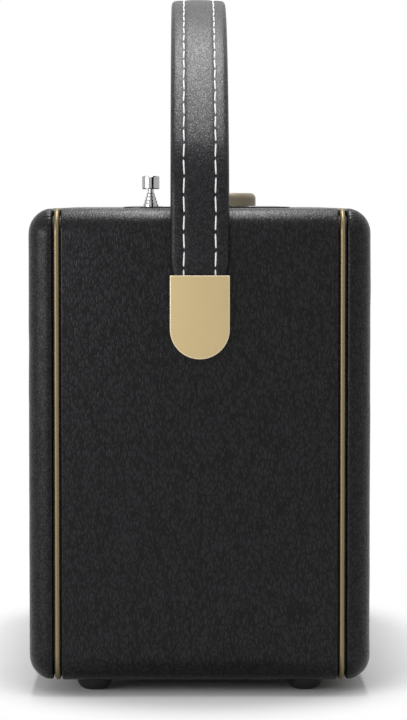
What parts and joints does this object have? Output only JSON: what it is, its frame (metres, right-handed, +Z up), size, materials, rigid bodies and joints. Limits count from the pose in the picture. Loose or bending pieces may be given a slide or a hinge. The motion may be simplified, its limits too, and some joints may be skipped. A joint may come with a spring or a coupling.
{
  "type": "portable radio",
  "caption": "Leather-covered portable radio with padded frames, brass beads, arched stitched carrying handle, top control panel and telescopic antenna.",
  "frame": {"origin": "on the floor under the middle of the cabinet", "axes": "+X to the user's right along the cabinet, -Y to the front, +Z up"},
  "size_m": [0.2838, 0.135, 0.282],
  "materials": {
    "leather": "grained satin",
    "board_wood": "raw board",
    "brass_trim": "satin",
    "knob_brass": "satin",
    "rubber_black": "matte",
    "black_board": "matte",
    "grille_fabric": "woven",
    "cone_paper": "matte",
    "dark_steel": "satin",
    "zinc_steel": "satin",
    "black_screw": "satin",
    "black_plastic": "fine grain",
    "cell_wrap": "gloss",
    "circuit_board": "matte",
    "panel_black": "satin",
    "dial_cream": "matte",
    "clear_lens": "clear",
    "pointer_red": "satin",
    "cord_thread": "twisted",
    "alloy_case": "satin",
    "chrome_tube": "polished"
  },
  "bodies": {
    "cabinet": {"carcass": "board_wood", "leather_wrap": "leather", "front_frame": "leather", "rear_frame": "leather", "front_bead": "brass_trim", "rear_bead": "brass_trim", "feet": "rubber_black", "front_baffle": "board_wood", "baffle_screws": "zinc_steel", "grille_board": "black_board", "grille_cloth": "grille_fabric", "speaker_basket": "dark_steel", "speaker_surround": "rubber_black", "speaker_cone": "cone_paper", "speaker_dust_cap": "cone_paper", "speaker_magnet": "dark_steel", "speaker_screws": "zinc_steel", "rear_battens": "board_wood", "rear_panel": "black_plastic", "rear_screws": "black_screw", "battery_tray": "black_plastic", "battery_cells": "cell_wrap", "battery_contacts": "zinc_steel", "ear_socket": "black_plastic", "charge_socket": "black_plastic", "main_board": "circuit_board", "board_parts": "black_plastic", "board_standoffs": "zinc_steel", "control_panel": "panel_black", "dial_plate": "dial_cream", "dial_lens": "clear_lens", "pointer_rail": "zinc_steel", "control_chassis": "zinc_steel", "chassis_screws": "zinc_steel", "cord_posts": "brass_trim", "dial_cord": "cord_thread", "tuning_gang": "alloy_case", "volume_pot": "alloy_case", "switch_board": "circuit_board", "switch_bodies": "black_plastic", "antenna_base": "chrome_tube", "antenna_clamp": "zinc_steel", "pivot_bushes": "brass_trim"},
    "handle": {"handle_strap": "leather", "handle_caps": "brass_trim", "pivot_nuts": "zinc_steel"},
    "volume": {"volume_knob": "knob_brass", "volume_shaft": "zinc_steel"},
    "tuning": {"tuning_knob": "knob_brass", "tuning_shaft": "zinc_steel"},
    "pointer": {"dial_pointer": "pointer_red"},
    "button_1": {"band_button_1": "knob_brass"},
    "button_2": {"band_button_2": "knob_brass"},
    "button_3": {"band_button_3": "knob_brass"},
    "battery_lid": {"battery_door": "black_plastic"},
    "antenna_1": {"antenna_tube_1": "chrome_tube"},
    "antenna_2": {"antenna_tube_2": "chrome_tube"},
    "antenna_3": {"antenna_tube_3": "chrome_tube"},
    "antenna_4": {"antenna_tube_4": "chrome_tube"},
    "antenna_5": {"antenna_rod": "chrome_tube"}
  },
  "joints": [
    {"name": "handle_swing", "type": "hinge", "parent": "cabinet", "child": "handle", "pos_m": [0, 0, 0.1454], "axis": [1, 0, 0], "range_deg": [-30, 30]},
    {"name": "volume_turn", "type": "hinge", "parent": "cabinet", "child": "volume", "pos_m": [-0.072, -0.0103, 0.193], "axis": [0, 0, 1], "range_deg": [-150, 150]},
    {"name": "tuning_turn", "type": "hinge", "parent": "cabinet", "child": "tuning", "pos_m": [0.072, -0.0103, 0.193], "axis": [0, 0, 1], "range_deg": [-448, 448]},
    {"name": "pointer_slide", "type": "slide", "parent": "cabinet", "child": "pointer", "axis": [1, 0, 0], "range_m": [-0.04, 0.04]},
    {"name": "button_1_press", "type": "slide", "parent": "cabinet", "child": "button_1", "axis": [0, 0, -1], "range_m": [0, 0.0012], "stiffness_N_per_m": 300, "springref_m": -0.001},
    {"name": "button_2_press", "type": "slide", "parent": "cabinet", "child": "button_2", "axis": [0, 0, -1], "range_m": [0, 0.0012], "stiffness_N_per_m": 300, "springref_m": -0.001},
    {"name": "button_3_press", "type": "slide", "parent": "cabinet", "child": "button_3", "axis": [0, 0, -1], "range_m": [0, 0.0012], "stiffness_N_per_m": 300, "springref_m": -0.001},
    {"name": "battery_lid_swing", "type": "hinge", "parent": "cabinet", "child": "battery_lid", "pos_m": [0, 0.0602, 0.0435], "axis": [-1, 0, 0], "range_deg": [0, 90]},
    {"name": "antenna_1_slide", "type": "slide", "parent": "cabinet", "child": "antenna_1", "axis": [0, 0, 1], "range_m": [0, 0.105]},
    {"name": "antenna_2_slide", "type": "slide", "parent": "antenna_1", "child": "antenna_2", "axis": [0, 0, 1], "range_m": [0, 0.105]},
    {"name": "antenna_3_slide", "type": "slide", "parent": "antenna_2", "child": "antenna_3", "axis": [0, 0, 1], "range_m": [0, 0.105]},
    {"name": "antenna_4_slide", "type": "slide", "parent": "antenna_3", "child": "antenna_4", "axis": [0, 0, 1], "range_m": [0, 0.105]},
    {"name": "antenna_5_slide", "type": "slide", "parent": "antenna_4", "child": "antenna_5", "axis": [0, 0, 1], "range_m": [0, 0.105]}
  ],
  "couplings": [
    {"joint": "pointer_slide", "follows": "tuning_turn", "m_per_rad": -0.0051}
  ]
}
